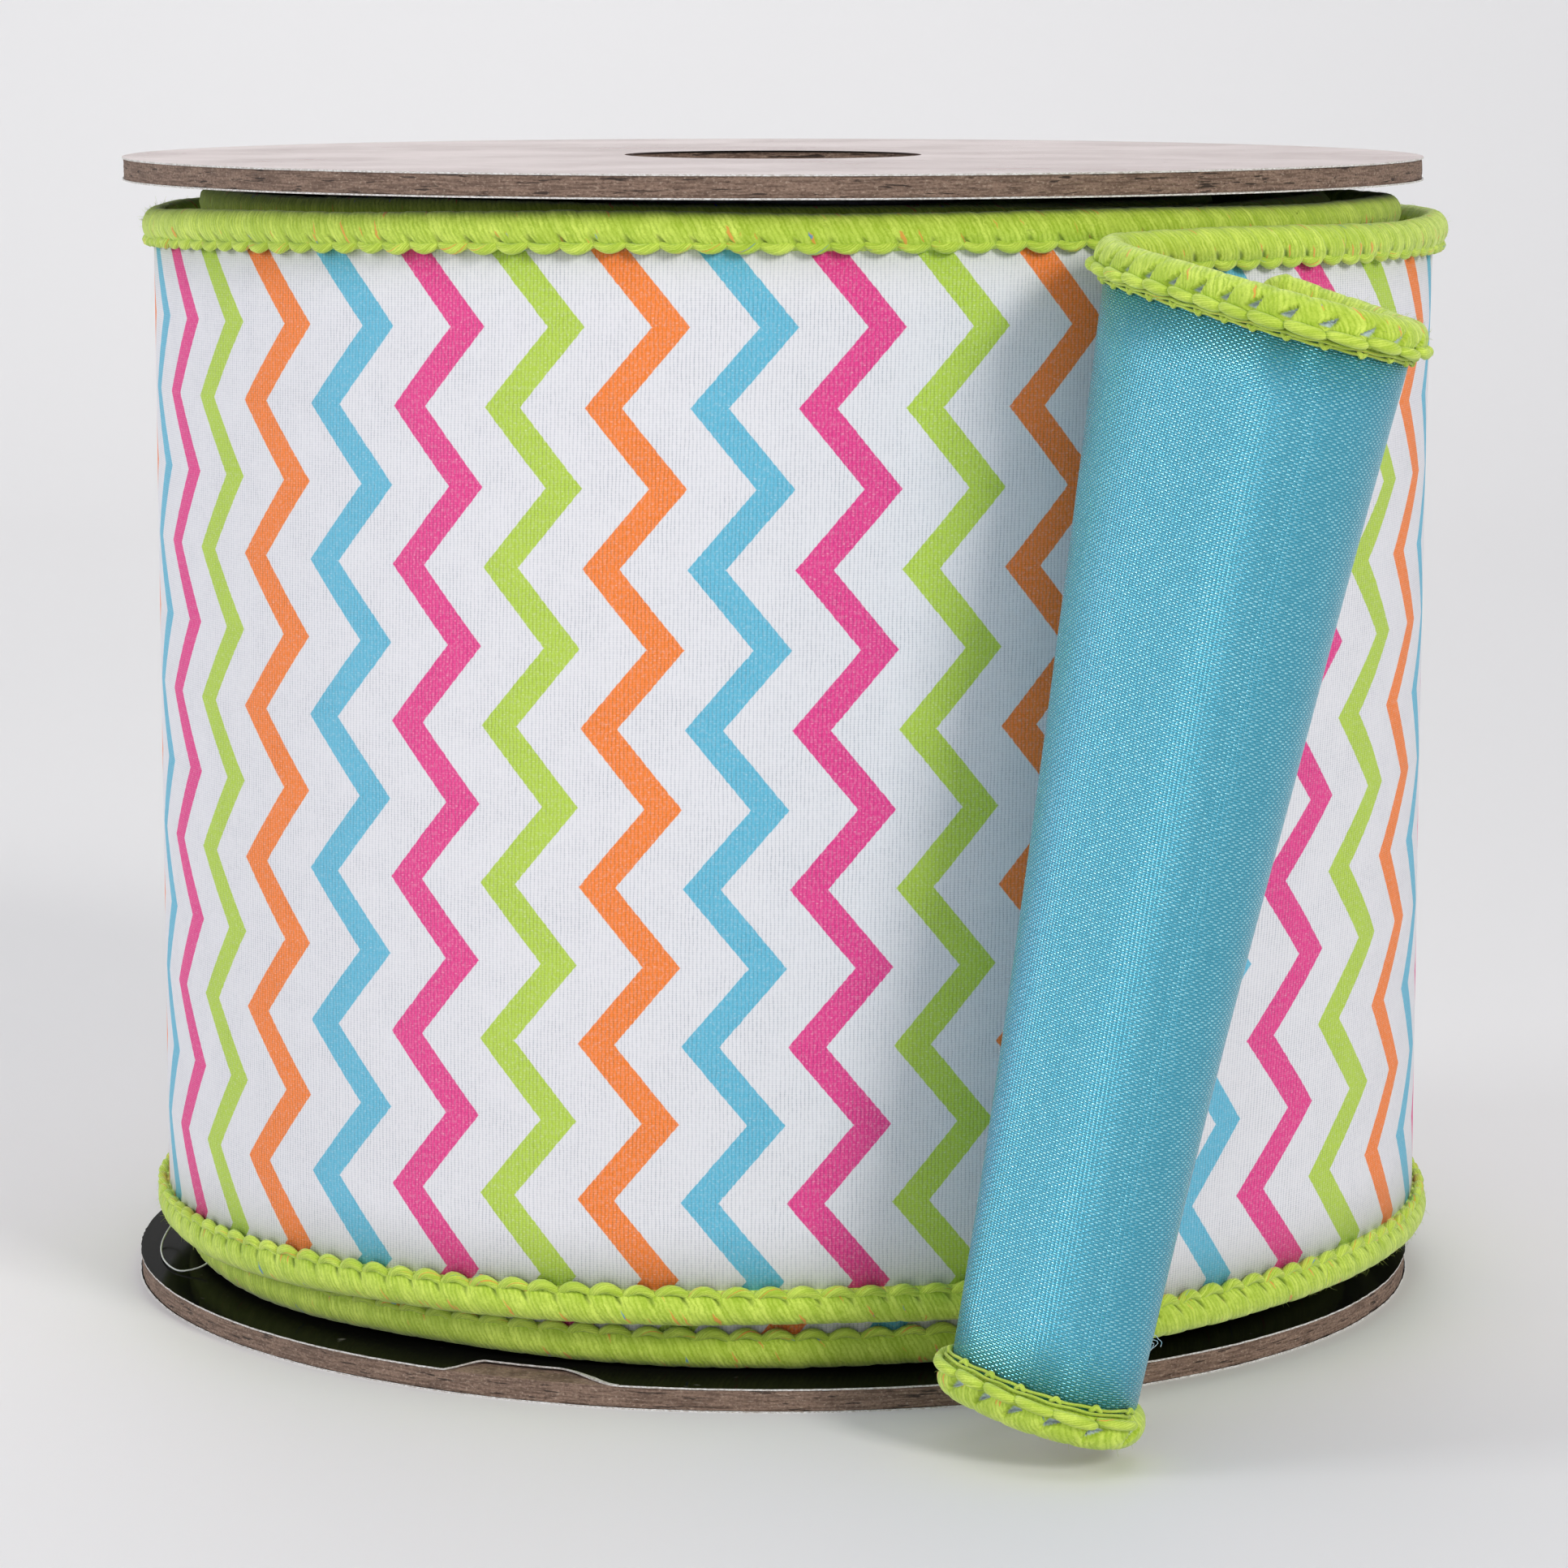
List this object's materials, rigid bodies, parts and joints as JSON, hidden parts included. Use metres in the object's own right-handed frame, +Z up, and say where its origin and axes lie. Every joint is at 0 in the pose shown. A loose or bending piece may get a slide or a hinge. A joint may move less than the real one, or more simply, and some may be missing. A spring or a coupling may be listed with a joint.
{
  "type": "roll of ribbon on a spool",
  "caption": "Wide zigzag-printed ribbon with corded edges, wound on a chipboard spool, its free end folded back and curled.",
  "frame": {"origin": "middle of the box round the whole roll, at its underside, on the table", "axes": "+Z up along the spool's axis, -Y towards the side with the curled free end, +X to the right seen from there"},
  "size_m": [0.131, 0.1528, 0.112],
  "materials": {
    "chipboard": "layered brown-grey board with paper-covered faces",
    "tube_paper": "wound pale paper board",
    "printed_cloth": "white woven cloth printed with zigzags in four colours",
    "turquoise_cloth": "satiny turquoise plain weave, the ribbon's back",
    "lime_cord": "lime yarn stitched over a cord"
  },
  "bodies": {
    "root": {"flange_lower": "chipboard", "flange_upper": "chipboard", "core_tube": "tube_paper", "wound_ribbon": "printed_cloth", "wound_edging_lower": "lime_cord", "wound_edging_upper": "lime_cord", "loose_end": "turquoise_cloth", "loose_edging_lower": "lime_cord", "loose_edging_upper": "lime_cord"}
  },
  "joints": []
}
